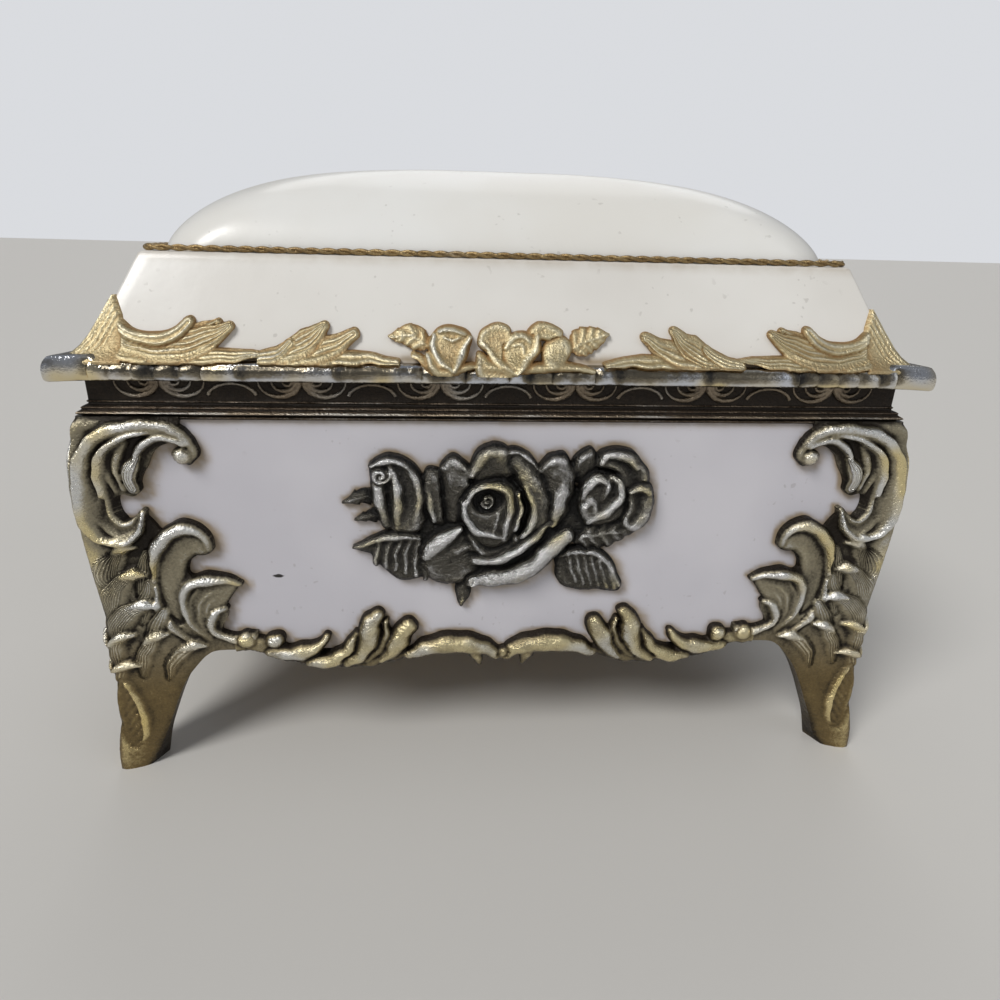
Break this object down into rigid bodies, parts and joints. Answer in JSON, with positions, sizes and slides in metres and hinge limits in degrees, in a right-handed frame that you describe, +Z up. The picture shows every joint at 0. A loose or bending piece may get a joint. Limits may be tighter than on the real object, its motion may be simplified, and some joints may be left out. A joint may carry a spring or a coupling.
{
  "type": "musical jewelry box",
  "caption": "Footed casket with enamelled cast walls, hinged domed lid, velvet compartment and a wind-up musical movement below.",
  "frame": {"origin": "on the table under the middle of the box", "axes": "+Z up, -Y to the front with the rose spray, +X to the right; hinge line along X at the back"},
  "size_m": [0.1212, 0.0858, 0.0909],
  "materials": {
    "enamelled_wall": "lilac white enamel on cast metal with antique gilt and pewter relief",
    "enamelled_lid": "creamy white enamel, worn at its edges",
    "antique_silver_gilt": "dark antique pewter with bright rubbed crests and gilt edges",
    "antique_gilt": "worn antique gilt with dark recesses",
    "card": "grey-brown card",
    "velvet": "deep red velvet",
    "plate_metal": "dull plated sheet metal",
    "steel": "bright steel",
    "cast_frame": "grey die casting",
    "brass": "polished brass"
  },
  "bodies": {
    "root": {"front_wall": "enamelled_wall", "back_wall": "enamelled_wall", "left_end_wall": "enamelled_wall", "right_end_wall": "enamelled_wall", "front_rose_spray": "antique_silver_gilt", "wall_hinge_leaves": "antique_gilt", "hinge_pins": "steel", "bottom_plate": "plate_metal", "plate_screws": "steel", "movement_screws": "steel", "compartment_tray": "card", "velvet_lining": "velvet", "movement_bedplate": "cast_frame", "comb": "steel", "comb_screws": "steel", "cylinder_bracket": "brass", "governor_bracket": "brass", "barrel_bridge": "brass", "wire_guide": "cast_frame"},
    "lid": {"lid_shell": "enamelled_lid", "rope_edge": "antique_gilt", "lid_dome": "enamelled_lid", "lid_velvet_pad": "velvet", "lid_hinge_leaves": "antique_gilt"},
    "winding_key": {"winding_arbor": "steel", "winding_key": "steel"},
    "spring_barrel": {"spring_barrel": "brass", "mainspring": "steel"},
    "music_cylinder": {"music_cylinder": "brass", "cylinder_arbor": "steel", "cylinder_pinion": "brass", "cylinder_wheel": "brass"},
    "governor_wheel": {"governor_arbor": "steel", "governor_pinion": "brass", "worm_wheel": "brass"},
    "governor_fan": {"governor_worm": "steel", "governor_fan": "brass"},
    "stop_wire": {"stop_wire": "steel"}
  },
  "joints": [
    {"name": "lid_hinge", "type": "hinge", "parent": "root", "child": "lid", "pos_m": [0, 0.0402, 0.0607], "axis": [-1, 0, 0], "range_deg": [0, 95]},
    {"name": "key_turn", "type": "hinge", "parent": "root", "child": "winding_key", "pos_m": [-0.014, 0, 0.024], "axis": [0, 0, 1], "range_deg": [0, 1530]},
    {"name": "cylinder_spin", "type": "hinge", "parent": "root", "child": "music_cylinder", "pos_m": [0.006, 0, 0.036], "axis": [1, 0, 0], "continuous": true},
    {"name": "barrel_spin", "type": "hinge", "parent": "root", "child": "spring_barrel", "pos_m": [-0.014, 0, 0.031], "axis": [0, 0, 1], "continuous": true},
    {"name": "governor_spin", "type": "hinge", "parent": "root", "child": "governor_wheel", "pos_m": [0.023, 0.00785, 0.034], "axis": [1, 0, 0], "continuous": true},
    {"name": "fan_spin", "type": "hinge", "parent": "root", "child": "governor_fan", "pos_m": [0.0264, 0.01345, 0.036], "axis": [0, 0, 1], "continuous": true},
    {"name": "stop_wire_slide", "type": "slide", "parent": "root", "child": "stop_wire", "axis": [0, 0, 1], "range_m": [0, 0.0025]}
  ],
  "couplings": [
    {"joint": "barrel_spin", "follows": "cylinder_spin", "ratio": 0.33333},
    {"joint": "governor_spin", "follows": "cylinder_spin", "ratio": -3},
    {"joint": "fan_spin", "follows": "cylinder_spin", "ratio": 24},
    {"joint": "stop_wire_slide", "follows": "lid_hinge", "m_per_rad": 0.0015}
  ]
}
